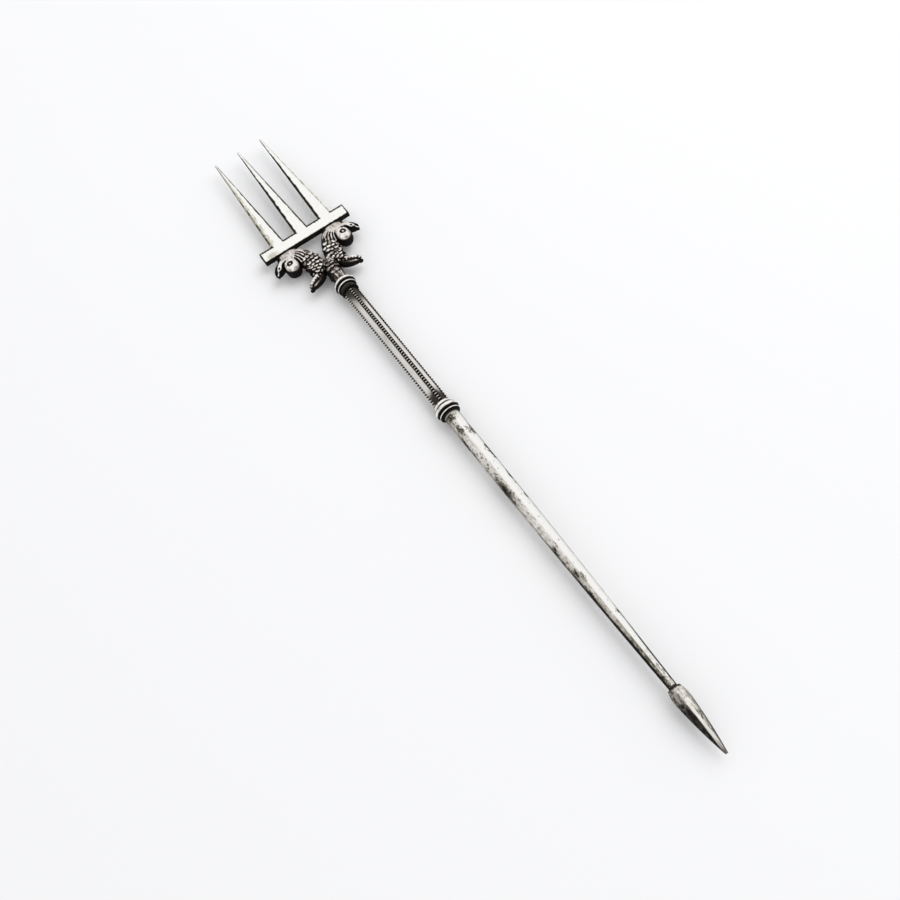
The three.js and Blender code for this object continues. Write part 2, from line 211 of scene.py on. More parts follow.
plate = bmesh.new()
outline = plate.faces.new([plate.verts.new((x, y, plate_low.z)) for x, y in corners])
lifted = bmesh.ops.extrude_face_region(plate, geom=[outline])["geom"]
lifted = [part for part in lifted if isinstance(part, bmesh.types.BMVert)]
bmesh.ops.translate(plate, verts=lifted, vec=(0, 0, plate_high.z - plate_low.z))
whole = plate.verts[:] + plate.edges[:] + plate.faces[:]
thin_start = Vector((0, plate_high.y - TINE_THINNING_LENGTH, 0))
bmesh.ops.bisect_plane(plate, geom=whole, plane_co=thin_start, plane_no=(0, 1, 0))
points = [vert for vert in plate.verts if vert.co.y > plate_high.y - 1e-6]
thinning = TINE_TIP_THICKNESS / (plate_high.z - plate_low.z)
to_middle = Matrix.Translation((0, 0, -plate_middle))
bmesh.ops.scale(plate, verts=points, vec=(1, 1, thinning), space=to_middle)
bmesh.ops.recalc_face_normals(plate, faces=plate.faces[:])
sharp = [edge for edge in plate.edges if edge.calc_face_angle(0) > radians(20)]
bmesh.ops.bevel(
    plate, geom=sharp, offset=PLATE_EDGE_ROUND, offset_type="OFFSET", segments=3, profile=0.5,
    affect="EDGES", material=-1, clamp_overlap=True,
)

STAIN_PLACE = Vector((-0.0092, plate_low.y + 0.001, plate_high.z))
STAIN_SIZE = 0.0018
EDGE_BLACK = 0.0002
EDGE_FADE = 0.00046
EDGE_RAGGEDNESS = 0.0005
SMEAR_WIDTH = 0.0011
SMEAR_RAGGEDNESS = 0.003
NARROW_TINE_HALF = 1 / 900
plate_silver = Silver("plate_silver")
cloud = plate_silver.noise(420)
grain = plate_silver.noise(1600, (1, 0.12, 1), detail=3)
speck = plate_silver.noise(2300, detail=3).rise(0.68, 0.74)
side = plate_silver.facing("Z").size().rise(0.85, 0.4)
across, up = plate_silver.axis("X"), plate_silver.axis("Y")
tine_middle = (across * (1 / TINE_PITCH)).math("ROUND").most(-1).least(1) * TINE_PITCH
tine_slope = (TINE_ROOT_WIDTH - TINE_TIP_WIDTH) / 2 / (plate_high.y - bar_end)
tine_half = TINE_ROOT_WIDTH / 2 - (up - bar_end) * tine_slope
aside = across - tine_middle
left_half = aside.rise(0.0001, -0.0001)
from_tine_edge = (tine_half - aside.size()) * (1 - 0.25 * left_half)
from_tine_edge = from_tine_edge.least(up - plate_low.y)
from_bar_edge = (plate_high.x - across.size()).least(up - plate_low.y).least((bar_end - up) * 0.65)
from_edge = from_tine_edge.most(from_bar_edge)
narrow = (tine_half / NARROW_TINE_HALF).least(1)
blotch = plate_silver.noise(1500, (1, 0.5, 1))
edge = ((from_edge + (blotch - 0.5) * EDGE_RAGGEDNESS) / narrow).rise(EDGE_FADE, EDGE_BLACK)
on_tines = up.rise(bar_end - 0.0002, bar_end + 0.0004)
outer_right = across.rise(TINE_PITCH, TINE_PITCH + 0.0002) * on_tines
outer_left = across.rise(-TINE_PITCH, -TINE_PITCH - 0.0002) * on_tines
edge = edge * (1 - outer_right * (0.3 + 0.45 * blotch.rise(0.6, 0.4)))
edge = edge * (1 - outer_left * (0.1 + 0.45 * blotch.rise(0.56, 0.44)))
smear = (from_edge + (blotch - 0.5) * SMEAR_RAGGEDNESS).rise(SMEAR_WIDTH, EDGE_BLACK) * outer_left * 0.42
stain = plate_silver.vector("DISTANCE", plate_silver.where, STAIN_PLACE, output="Value")
stain = (stain + (cloud - 0.5) * 0.003).rise(STAIN_SIZE, STAIN_SIZE * 0.3)
cloudy = (cloud.rise(0.55, 0.85) * 0.16).most(stain * 0.36).most(speck * 0.45)
tarnish_and_shade = cloudy.most(edge).most(smear).most(side * (0.76 + 0.4 * blotch) * (1 - 0.2 * outer_left))
PLATE_TONES = [
    (0, (0.955, 0.95, 0.935)), (0.35, (0.66, 0.64, 0.55)),
    (0.7, (0.14, 0.13, 0.065)), (1, (0.012, 0.011, 0.01)),
]
satin = grain * 0.5 + cloud * 0.5
plate_silver.dress(
    tarnish_and_shade, PLATE_TONES, roughness=0.26 + 0.16 * grain + 0.45 * tarnish_and_shade, height=satin, depth=0.00001,
)
place_piece(plate, "trident", plate_silver, "trident_plate")


# Dolphins
# A mirrored pair of castings, each with a round cheek, a hooked beak, gill leaves, a scaled body and a fin.
# Their heads are soldered under the bar and their bodies to the tail stem. Old polish blackens the hollows.

tail_low, tail_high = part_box("tail_stem")
handle_axis = (tail_low.z + tail_high.z) / 2
DOLPHIN_RISE = (plate_low.y - tail_high.y) * 1000
CAST_SKIN = 0.065
SQUARE = 2.4
to_fork = Matrix.Translation((0, tail_high.y, handle_axis)) @ Matrix.Scale(0.001, 4)
hand = np.random.default_rng(4)


def along(points, share):
    """The point at a share of the way along a smooth run of points, with all their values."""
    spot = share * (len(points) - 1)
    first = min(int(spot), len(points) - 2)
    t = spot - first
    ends = [Vector(points[min(max(first + step, 0), len(points) - 1)]) for step in (-1, 0, 1, 2)]
    before, start, end, after = ends
    bend = (end - start) * 3 - (end - before) - (after - start) / 2
    twist = (start - end) * 2 + (end - before) / 2 + (after - start) / 2
    return start + (end - before) / 2 * t + bend * t ** 2 + twist * t ** 3


def heading(points, share):
    """The flat direction along a run of points, and the direction to the right of it."""
    step = along(points, min(share + 0.01, 1)) - along(points, max(share - 0.01, 0))
    forward = Vector((step[0], step[1], 0)).normalized()
    return forward, Vector((forward.y, -forward.x, 0))


def limb(wax, points, sides=24, steps=36, bluntness=1.25):
    """A rod of wax with a rounded square section, along (x, y, z, width, thickness) in millimetres."""
    ball = bmesh.ops.create_uvsphere(wax, u_segments=sides, v_segments=steps, radius=1)["verts"]
    for vert in ball:
        share = min(max((vert.co.z + 1) / 2, 0), 1)
        x, y, z, width, thickness = along(points, share)
        right = heading(points, share)[1]
        ring = min(1, hypot(vert.co.x, vert.co.y) * bluntness)
        turn = atan2(vert.co.y, vert.co.x)
        swell = ring / 2 / (abs(cos(turn)) ** SQUARE + abs(sin(turn)) ** SQUARE) ** (1 / SQUARE)
        vert.co = Vector((x, y, z + sin(turn) * swell * thickness)) + right * (cos(turn) * swell * width)


def bead(wax, place, size, turn=None, sides=12, squareness=2):
    """A ball of wax, squeezed to its three diameters; a larger squareness flattens its top."""
    ball = bmesh.ops.create_uvsphere(wax, u_segments=sides, v_segments=sides // 2 + 2, radius=0.5)["verts"]
    for vert in ball:
        out, high = 2 * hypot(vert.co.x, vert.co.y), 2 * abs(vert.co.z)
        vert.co /= (out ** squareness + high ** squareness) ** (1 / squareness)
    lay = Matrix.Translation(place) @ (turn or Matrix.Identity(4)) @ Matrix.Diagonal((*size, 1))
    bmesh.ops.transform(wax, matrix=lay, verts=ball)


def skin_point(spine, share, out, face):
    """A point on one face of a limb, out millimetres from its middle, and the way the skin faces there."""
    x, y, z, width, thickness = along(spine, share)
    forward, right = heading(spine, share)
    out = min(max(out / (width / 2), -0.99), 0.99)
    lift = (1 - abs(out) ** SQUARE) ** (1 / SQUARE)
    spot = Vector((x, y, z + face * lift * thickness / 2)) + right * (out * width / 2)
    sideways = right * copysign(abs(out) ** (SQUARE - 1) / width, out)
    outward = (sideways + Vector((0, 0, face * lift ** (SQUARE - 1) / thickness))).normalized()
    return spot, outward, forward


def scale_rows(wax, spine, first, last, rows, across, pitch, aside, size):
    """Overlapping scales on both faces of a limb, cut by hand in rows that are set half a scale apart."""
    for row in range(rows):
        count = across + row % 2
        for place in range(count):
            for face in (1, -1):
                share = first + (last - first) * (row + hand.uniform(-0.12, 0.12)) / (rows - 1)
                out = (place - (count - 1) / 2 + hand.uniform(-0.1, 0.1)) * pitch + aside
                spot, outward, forward = skin_point(spine, share, out, face)
                lean = Matrix((forward.cross(outward), forward, outward)).transposed().to_4x4()
                lean = lean @ Matrix.Rotation(radians(hand.uniform(-26, -12)), 4, "X")
                bead(wax, spot, Vector(size) * hand.uniform(0.88, 1.1), lean, squareness=2.8)


def cast(wax, name):
    """Fuses the wax to one skin and returns it as a mesh, still in millimetres."""
    mesh = bpy.data.meshes.new(name)
    wax.to_mesh(mesh)
    wax.free()
    model = bpy.data.objects.new(name, mesh)
    bpy.context.scene.collection.objects.link(model)
    fuse = model.modifiers.new("fuse", "REMESH")
    fuse.mode = "VOXEL"
    fuse.voxel_size = CAST_SKIN
    skin = bpy.data.meshes.new_from_object(model.evaluated_get(bpy.context.evaluated_depsgraph_get()))
    bpy.data.objects.remove(model)
    return skin


def neighbour_mean(values, edges, counts):
    """The mean of each point's neighbours."""
    total = np.zeros_like(values)
    for column in range(values.shape[1]):
        for here, there in ((0, 1), (1, 0)):
            total[:, column] += np.bincount(edges[:, here], values[edges[:, there], column], len(values))
    return total / counts[:, None]


def from_line(points, line):
    """How far each point lies from a drawn line, seen from above."""
    away = np.full(len(points), np.inf)
    for start, end in zip(line, line[1:]):
        step = np.subtract(end, start)
        share = np.clip((points[:, :2] - start) @ step / (step @ step), 0, 1)
        away = np.minimum(away, np.linalg.norm(points[:, :2] - start - share[:, None] * step, axis=1))
    return away


def chase(mesh, smoothing, reach, grooves=()):
    """Smooths a skin, sinks grooves in both faces and stores how deep each point lies in its hollow."""
    points = np.empty(len(mesh.vertices) * 3)
    mesh.vertices.foreach_get("co", points)
    points = points.reshape(-1, 3)
    edges = np.empty(len(mesh.edges) * 2, dtype=np.int32)
    mesh.edges.foreach_get("vertices", edges)
    edges = edges.reshape(-1, 2)
    counts = np.maximum(np.bincount(edges.ravel(), minlength=len(points)), 1)
    for step in range(smoothing):
        points = points * 0.5 + neighbour_mean(points, edges, counts) * 0.5
    cut = np.zeros(len(points))
    for line, width, depth in grooves:
        sunk = depth * np.exp(-(from_line(points, line) / width) ** 2)
        points[:, 2] -= np.sign(points[:, 2]) * sunk
        cut = np.maximum(cut, sunk)
    mesh.vertices.foreach_set("co", points.ravel())
    mesh.update()
    normals = np.empty(len(mesh.vertices) * 3)
    mesh.vertices.foreach_get("normal", normals)
    soft = points
    for step in range(reach):
        soft = neighbour_mean(soft, edges, counts)
    depth = ((soft - points) * normals.reshape(-1, 3)).sum(axis=1) + 0.3 * cut
    mesh.attributes.new("recess", "FLOAT", "POINT").data.foreach_set("value", depth.astype(np.float32))


def saw(shape, spot, outward):
    """Cuts a shape off at a plane and closes the cut."""
    whole = shape.verts[:] + shape.edges[:] + shape.faces[:]
    sliced = bmesh.ops.bisect_plane(shape, geom=whole, plane_co=spot, plane_no=outward, clear_outer=True)
    cut = [part for part in sliced["geom_cut"] if isinstance(part, bmesh.types.BMEdge)]
    bmesh.ops.edgeloop_fill(shape, edges=cut)


# The wax is in millimetres from the upper end of the tail stem, for the right dolphin
SCALE = (1.42, 1.5, 0.58)
MIDDLE_GAP = 0.01
wax = bmesh.new()
body_spine = [
    (3.3, -3.2, 0, 1.6, 2.0), (3.0, -1.6, 0, 2.6, 2.7), (2.5, 0.2, 0, 4.4, 3.0), (2.75, 2.4, 0, 4.3, 3.1),
    (3.45, 4.5, 0, 4.1, 3.1), (4.7, 6.3, 0, 4.0, 3.0), (6.3, 7.0, 0, 3.6, 2.9),
]
limb(wax, body_spine)
scale_rows(wax, body_spine, first=0.14, last=0.57, rows=7, across=3, pitch=1.08, aside=0.05, size=SCALE)
head_spine = [
    (6.2, 9.1, 0, 4.4, 0.9), (6.2, 8.2, 0, 5.5, 2.1), (6.2, 7.1, 0, 5.9, 2.9), (6.45, 5.9, 0, 5.1, 3.4),
    (6.8, 4.7, 0, 4.1, 3.9), (6.95, 3.4, 0, 3.8, 4.0), (6.95, 1.45, 0, 3.3, 3.8),
]
limb(wax, head_spine, sides=40, bluntness=1.6)
beak_spine = [
    (7.0, 6.3, 0, 2.9, 3.3), (8.5, 5.95, 0, 2.8, 3.2), (9.7, 5.35, 0, 2.5, 2.9), (10.55, 4.5, 0, 1.6, 2.4),
    (10.95, 3.4, 0, 0.7, 1.6),
]
limb(wax, beak_spine, bluntness=1.15)
GILL_LEAVES = [
    ((4.3, 6.6, 1.25), (3.3, 5.8, 1.35), (2.6, 4.5, 1.15)),
    ((4.7, 6.3, 1.3), (3.85, 5.2, 1.45), (3.2, 3.7, 1.3)),
    ((5.0, 5.9, 1.3), (4.45, 4.8, 1.4), (3.95, 3.3, 1.3)),
    ((5.3, 5.3, 1.25), (4.95, 4.2, 1.3), (4.7, 2.7, 1.0)),
]
LEAF_WIDTHS = (0.25, 0.62, 0.3)
LEAF_THICKNESS = 0.6
for face in (1, -1):
    for leaf in GILL_LEAVES:
        ribs = [(x, y, z * face, width, LEAF_THICKNESS) for (x, y, z), width in zip(leaf, LEAF_WIDTHS)]
        limb(wax, ribs, sides=12, steps=20, bluntness=1)
fin_spine = [
    (2.4, -1.9, 0, 2.2, 2.0), (3.3, -2.9, 0, 2.4, 2.0), (4.3, -3.55, 0, 2.2, 1.9),
    (5.4, -4.05, 0, 1.8, 1.7), (6.6, -4.85, 0, 1.1, 1.3),
]
limb(wax, fin_spine)
FIN_CREST = [(2.7, -1.6, 0.8), (3.6, -2.45, 0.85), (4.6, -3.05, 0.8), (5.7, -3.6, 0.7), (6.6, -4.6, 0.5)]
FIN_LOBES = 7
for face in (1, -1):
    crest = [(x, y, z * face, 0.85, 0.95) for x, y, z in FIN_CREST]
    limb(wax, crest, sides=12, steps=20)
    for lobe in range(FIN_LOBES):
        share = (lobe + 0.6) / FIN_LOBES
        x, y, z = along(crest, share)[:3]
        right = heading(crest, share)[1]
        size = hand.uniform(0.7, 1.05)
        bead(wax, (x, y, z + hand.uniform(0, 0.15) * face), (size * 1.2, size, 0.8), squareness=2.5)
        inner = Vector((x, y, z * 0.95)) + right * hand.uniform(0.6, 0.9) * (1 - share)
        bead(wax, inner, (size * 0.7, size * 0.6, 0.8), squareness=2.5)
        foot = Vector((x, y, 0)) + right * (1.3 - 0.9 * share)
        limb(wax, [(x, y, z * 0.9, 0.4, 0.6), (foot.x, foot.y, z * 0.5, 0.5, 0.8)], sides=10, steps=12)
dolphin_skin = cast(wax, "dolphin_cast")
leaf_cuts = []
for leaf, beside in zip(GILL_LEAVES, GILL_LEAVES[1:]):
    between = [((here[0] + there[0]) / 2, (here[1] + there[1]) / 2) for here, there in zip(leaf, beside)]
    leaf_cuts.append((between, 0.1, 0.28))
EYE = (7.2, 3.95)
EYE_RADII = (0.5, 0.44)
EYE_STEPS = 16
eye_turns = [2 * pi * step / EYE_STEPS for step in range(EYE_STEPS + 1)]
EYE_RING = [(EYE[0] + EYE_RADII[0] * cos(turn), EYE[1] + EYE_RADII[1] * sin(turn)) for turn in eye_turns]
NOSTRIL = [(9.75, 4.8), (9.85, 4.75)]
BEAK_EDGE = [(8.75, 7.1), (9.4, 6.6), (10.15, 5.9), (10.75, 5.05), (11.0, 4.4)]
BROW = [(9.1, 3.4), (8.9, 4.3), (8.65, 4.95), (8.2, 5.3), (7.75, 5.4)]
EYELID = [(6.7, 4.2), (7.05, 4.5), (7.5, 4.45)]
CHEEK_BACK = [(5.25, 2.2), (5.15, 3.5), (5.4, 4.9)]
SMOOTHING = 2
HOLLOW_REACH = 44
# Grooves as (line, width, depth) in millimetres
grooves = [
    (EYE_RING, 0.24, 0.5), (NOSTRIL, 0.17, 0.4), (BEAK_EDGE, 0.4, 0.9), (BROW, 0.24, 0.6),
    (EYELID, 0.2, 0.3), (CHEEK_BACK, 0.2, 0.5), *leaf_cuts,
]
chase(dolphin_skin, SMOOTHING, HOLLOW_REACH, grooves)

right_dolphin = bmesh.new()
right_dolphin.from_mesh(dolphin_skin)
saw(right_dolphin, (0, DOLPHIN_RISE, 0), (0, 1, 0))
saw(right_dolphin, (MIDDLE_GAP, 0, 0), (-1, 0, 0))
bmesh.ops.transform(right_dolphin, matrix=to_fork, verts=right_dolphin.verts[:])
left_dolphin = right_dolphin.copy()
bmesh.ops.scale(left_dolphin, verts=left_dolphin.verts[:], vec=(-1, 1, 1))
bmesh.ops.reverse_faces(left_dolphin, faces=left_dolphin.faces[:])

CHEEK_OUT = 0.007
CHEEK_RISE = 0.0037
cast_silver = Silver("cast_silver")
mottle = cast_silver.noise(900)
grit = cast_silver.noise(4200, detail=3)
# Regions of the casting, by how far they rise above the tail stem and lie out from the middle
rise = cast_silver.axis("Y") - tail_high.y
out = cast_silver.axis("X").size()
to_cheek = cast_silver.node("ShaderNodeCombineXYZ", None, out - CHEEK_OUT, rise - CHEEK_RISE)
from_cheek = cast_silver.vector("LENGTH", to_cheek, output="Value")
cheek = from_cheek.rise(0.0022, 0.0015)
rim = from_cheek.rise(0.001, 0.0017) * from_cheek.rise(0.0026, 0.002)
head = out.rise(0.0045, 0.0053) * rise.rise(0, 0.001)
scaled = rise.rise(0.0066, 0.0052) * rise.rise(-0.0052, -0.0042) * (1 - head)
tail_end = rise.rise(-0.0005, -0.0035) * out.rise(0.0024, 0.0016)
beak = out.rise(0.0083, 0.0097)
fin = rise.rise(-0.0012, -0.002) * out.rise(0.002, 0.0066)
height = (cast_silver.axis("Z") - handle_axis).size()
reached = height + beak * 0.0006 + fin * 0.0005 + tail_end * 0.0005 + (mottle - 0.5) * 0.0004
low = reached.rise(0.00125, 0.0009)
recess = cast_silver.mark("recess") + (mottle - 0.5) * 0.1 + (grit - 0.5) * 0.06
hollow = (recess + scaled * 0.062).rise(0.0, 0.06)
# Faces turned away from straight up, and the side walls near the middle height, are darkened to black; the
# cheeks are spared.
upright = cast_silver.facing("Z").size() + cheek * 0.25 - scaled * 0.06 + (mottle - 0.5) * 0.25
flank = upright.rise(0.88, 0.5)
streak = cast_silver.noise(1500, (1, 0.35, 1), detail=3)
crown = rise.rise(0.0048, 0.0066)
haze = (mottle.rise(0.4, 0.65) * (0.1 + 0.45 * scaled)).most(crown * (0.9 * streak - 0.18))
pitted = cast_silver.noise(1700, detail=5, roughness=0.65) + (grit - 0.5) * 0.5
pocks = cheek * pitted.rise(0.5, 0.64) * 0.5
toward_tail = scaled * (1 - fin) * rise.rise(0.003, -0.003) * mottle.rise(0.42, 0.6) * 0.7
tarnish_and_shade = hollow.most(low).most(flank).most(haze).most(pocks).most(toward_tail)
tarnish_and_shade = tarnish_and_shade.most(rim * mottle.rise(0.45, 0.62) * 0.5).most(tail_end * (2.6 * streak - 0.85))
CAST_TONES = [
    (0, (0.95, 0.945, 0.91)), (0.3, (0.6, 0.53, 0.5)),
    (0.62, (0.12, 0.095, 0.08)), (1, (0.008, 0.007, 0.006)),
]
cast_silver.dress(
    tarnish_and_shade, CAST_TONES, roughness=0.26 + 0.2 * grit + 0.4 * tarnish_and_shade, height=grit, depth=0.000015,
)
place_piece(right_dolphin, "dolphin_right", cast_silver, "right_dolphin", crease=pi)
place_piece(left_dolphin, "dolphin_left", cast_silver, "left_dolphin", crease=pi)


# Tail stem
# The dolphins' joined tail: a tapering boss covered with scales, bored for the tenon of the handle's stem.
# It is cast with them in the same silver and soldered between the two bodies.

TAIL_LENGTH = (tail_high.y - tail_low.y) * 1000
TAIL_SPARE = 1.5
tail_spine = [
    (0, -TAIL_LENGTH - TAIL_SPARE, 0, 3.0, 3.0), (0, -5.6, 0, 3.2, 3.4), (0, -2.4, 0, 3.4, 4.0),
    (0, -0.3, 0, 2.4, 3.1),
]
wax = bmesh.new()
limb(wax, tail_spine)
scale_rows(wax, tail_spine, first=0.42, last=0.92, rows=5, across=2, pitch=1.1, aside=0, size=SCALE)
TAIL_RAYS = [(-0.5, 0.16), (-0.2, 0.05), (0.15, -0.03), (0.5, -0.15)]
RAY_SHARES = (0.16, 0.32, 0.5)
RAY_WIDTHS = (0.25, 0.45, 0.3)
RAY_THICKNESS = 0.5
for face in (1, -1):
    for spread, lean in TAIL_RAYS:
        ray = []
        for share, width in zip(RAY_SHARES, RAY_WIDTHS):
            spot = skin_point(tail_spine, share, spread * (1 + share) + lean, face)[0]
            ray.append((*spot, width, RAY_THICKNESS))
        limb(wax, ray, sides=10, steps=16)
tail_skin = cast(wax, "tail_cast")
chase(tail_skin, SMOOTHING, HOLLOW_REACH)
tail = bmesh.new()
tail.from_mesh(tail_skin)
saw(tail, (0, -TAIL_LENGTH, 0), (0, -1, 0))
bmesh.ops.transform(tail, matrix=to_fork, verts=tail.verts[:])
place_piece(tail, "tail", cast_silver, "tail_stem", crease=pi)


# Collars
# Each collar is a bead and two thinner rings of wire, soldered in a row over the stem's tenon.
# Their crowns are rubbed bright, and the grooves between them and the ring next to the stem are black.

COLLAR_CORE = 0.00185
SEAT_LIP = 0.00055
FOOT_COVE = 0.0006
COVE_DEPTH = 0.00015
ROUND_STEPS = 96


def half_round(y_start, y_end, r_start, r_end, height, steps=14):
    """Profile points of a half-round between two places; a negative height makes a cove."""
    points = []
    for step in range(steps + 1):
        angle = pi * step / steps
        share = (1 - cos(angle)) / 2
        radius = r_start + (r_end - r_start) * share + height * sin(angle)
        points.append((radius, y_start + (y_end - y_start) * share))
    return points


def turned(profile):
    """Spins points of (radius, y) round the handle's axis to a closed piece."""
    shape = bmesh.new()
    verts = [shape.verts.new((radius, y, handle_axis)) for radius, y in profile]
    edges = [shape.edges.new(pair) for pair in zip(verts, verts[1:])]
    bmesh.ops.spin(
        shape, geom=verts + edges, cent=(0, 0, handle_axis), axis=(0, 1, 0), angle=2 * pi, steps=ROUND_STEPS,
        use_merge=True,
    )
    bmesh.ops.remove_doubles(shape, verts=shape.verts[:], dist=1e-7)
    bmesh.ops.recalc_face_normals(shape, faces=shape.faces[:])
    return shape


def ring_outline(node):
    low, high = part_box(node)
    return low.y, high.y, (high.x - low.x) / 2


seat_low, seat_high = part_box("upper_collar_seat")
foot_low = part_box("lower_collar_foot")[0]
bead_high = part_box("lower_collar_bead")[1]
collar_silver = Silver("collar_silver")
rub = collar_silver.noise(1500)
groove = (collar_silver.facing("Y").size() + (rub - 0.5) * 0.3).rise(0.3, 0.66)
worn = (collar_silver.noise(420).rise(0.5, 0.68) * 0.45).most(rub.rise(0.5, 0.75) * 0.4)
place = collar_silver.axis("Y")
under_ring = (place + (rub - 0.5) * 0.0006).rise(seat_high.y + 0.0002, seat_high.y - 0.0003)
seat = under_ring * place.rise(seat_low.y - 0.001, seat_low.y)
above_foot = place - foot_low.y
cove = above_foot.rise(0.0008, FOOT_COVE) * (1 - 0.6 * above_foot.rise(0.0005, 0.0002))
cap_joint = (place - bead_high.y + (rub - 0.5) * 0.0002).size().rise(0.00026, 0.00012)
tarnish_and_shade = groove.most(worn).most(seat * (0.7 + 0.45 * rub)).most(cove * 0.95).most(cap_joint)
COLLAR_TONES = [
    (0, (0.94, 0.925, 0.89)), (0.3, (0.55, 0.51, 0.47)),
    (0.65, (0.09, 0.08, 0.07)), (1, (0.006, 0.006, 0.005)),
]
collar_silver.dress(
    tarnish_and_shade, COLLAR_TONES, roughness=0.2 + 0.15 * rub + 0.45 * tarnish_and_shade, height=rub, depth=0.00002,
)
for node in ("upper_collar_bead", "upper_collar_ring", "lower_collar_cap", "lower_collar_bead"):
    start, end, radius = ring_outline(node)
    outside = half_round(start, end, COLLAR_CORE, COLLAR_CORE, radius - COLLAR_CORE)
    ring = turned([(0, start), *outside, (0, end)])
    place_piece(ring, f"{node}_ring", collar_silver, node)

start, end, radius = ring_outline("upper_collar_seat")
lip_end = start + SEAT_LIP
outside = half_round(start, lip_end, COLLAR_CORE, COLLAR_CORE, radius - COLLAR_CORE)
outside += half_round(lip_end, end, COLLAR_CORE, COLLAR_CORE, -COVE_DEPTH)[1:]
seat_ring = turned([(0, start), *outside, (0, end)])
place_piece(seat_ring, "upper_seat_ring", collar_silver, "upper_collar_seat")

start, end, radius = ring_outline("lower_collar_foot")
cove_end = start + FOOT_COVE
shaft_low, shaft_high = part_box("shaft")
shaft_top = (shaft_high.x - shaft_low.x) / 2
outside = half_round(start, cove_end, shaft_top, COLLAR_CORE, -COVE_DEPTH)
outside += half_round(cove_end, end, COLLAR_CORE, COLLAR_CORE, radius - COLLAR_CORE)[1:]
foot_ring = turned([(0, start), *outside, (0, end)])
place_piece(foot_ring, "lower_foot_ring", collar_silver, "lower_collar_foot")


# Stem
# A square bar of silver set cornerwise between the collars, with a turned tenon at each end.
# Its four faces are plain and rubbed, with tarnish left beside the collars and painted shade in the creases
# along the wires.

stem_low, stem_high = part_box("stem_core")
wire_low, wire_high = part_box("milled_wire_top")
half_flat = (stem_high.x - stem_low.x) / 2
half_wire = (wire_high.x - wire_low.x) / 2
section = [(half_wire, -half_flat), (half_flat, -half_wire), (half_flat, half_wire), (half_wire, half_flat)]
section += [(-x, -z) for x, z in section]
stem = bmesh.new()
end_face = stem.faces.new([stem.verts.new((x, wire_low.y, handle_axis + z)) for x, z in section])
far_end = bmesh.ops.extrude_face_region(stem, geom=[end_face])["geom"]
far_end = [part for part in far_end if isinstance(part, bmesh.types.BMVert)]
bmesh.ops.translate(stem, verts=far_end, vec=(0, wire_high.y - wire_low.y, 0))
bmesh.ops.recalc_face_normals(stem, faces=stem.faces[:])

stem_silver = Silver("stem_silver")
patch = stem_silver.noise(260, (1, 0.4, 1), detail=6)
brush = stem_silver.noise(2400, (1, 0.08, 1), detail=3)
along_stem = stem_silver.axis("Y") + (patch - 0.5) * 0.008
lower_end = along_stem.rise(wire_low.y + 0.0052, wire_low.y + 0.001)
upper_end = along_stem.rise(wire_high.y - 0.008, wire_high.y - 0.001)
dull = patch.rise(0.5, 0.78) * 0.3
across = stem_silver.axis("X").size() - half_wire
up = (stem_silver.axis("Z") - handle_axis).size() - half_wire
right_face = stem_silver.axis("X").rise(-half_wire, half_wire)
# Painted shade in the creases beside the wires, heavier on the right face.
shade_by_wire = (across.least(up) + (patch - 0.5) * 0.0005).rise(0.00016, -0.00002) * (0.4 + 0.45 * right_face)
scratches = brush.rise(0.62, 0.8) * 0.25
tarnish_and_shade = dull.most(lower_end * 0.9).most(upper_end * 0.85).most(scratches).most(shade_by_wire)
STEM_TONES = [
    (0, (0.82, 0.795, 0.77)), (0.35, (0.55, 0.515, 0.475)),
    (0.7, (0.1, 0.085, 0.07)), (1, (0.012, 0.011, 0.01)),
]
stem_silver.dress(
    tarnish_and_shade, STEM_TONES, roughness=0.34 + 0.16 * brush + 0.3 * tarnish_and_shade, height=brush, depth=0.00001,
)
place_piece(stem, "stem", stem_silver, "stem_core")


# Milled wires
# A flat strip with a close row of rungs rolled across it, soldered along each of the stem's four edges.
# The rungs are worn bright on their crowns, and the strip between them is black.

RUNG_PITCH = 0.00072
RUNG_LENGTH = 0.0005
RUNG_WIDTH = 0.00022
RUNG_ROUND = 0.0001
STRIP_HEIGHT = 0.00018
rungs = int((wire_high.y - wire_low.y) / RUNG_PITCH)
first_rung = (wire_low.y + wire_high.y) / 2 - (rungs - 1) / 2 * RUNG_PITCH
wire_height = wire_high.z - wire_low.z

strip = bmesh.new()
spine = Matrix.Translation((0, (wire_low.y + wire_high.y) / 2, wire_low.z + STRIP_HEIGHT / 2))
strip_size = Matrix.Diagonal((2 * half_wire, wire_high.y - wire_low.y, STRIP_HEIGHT, 1))
bmesh.ops.create_cube(strip, size=1, matrix=spine @ strip_size)
rung = bmesh.new()
bmesh.ops.create_cube(rung, size=1, matrix=Matrix.Diagonal((RUNG_LENGTH, RUNG_WIDTH, wire_height, 1)))
crown = [edge for edge in rung.edges if min(vert.co.z for vert in edge.verts) > 0]
bmesh.ops.bevel(
    rung, geom=crown, offset=RUNG_ROUND, offset_type="OFFSET", segments=3, profile=0.5,
    affect="EDGES", material=-1, clamp_overlap=True,
)
rung_mesh = bpy.data.meshes.new("rung")
rung.to_mesh(rung_mesh)
rung.free()
for number in range(rungs):
    made = len(strip.verts)
    strip.from_mesh(rung_mesh)
    strip.verts.ensure_lookup_table()
    spot = Vector((0, first_rung + number * RUNG_PITCH, (wire_low.z + wire_high.z) / 2))
    bmesh.ops.translate(strip, verts=strip.verts[made:], vec=spot)

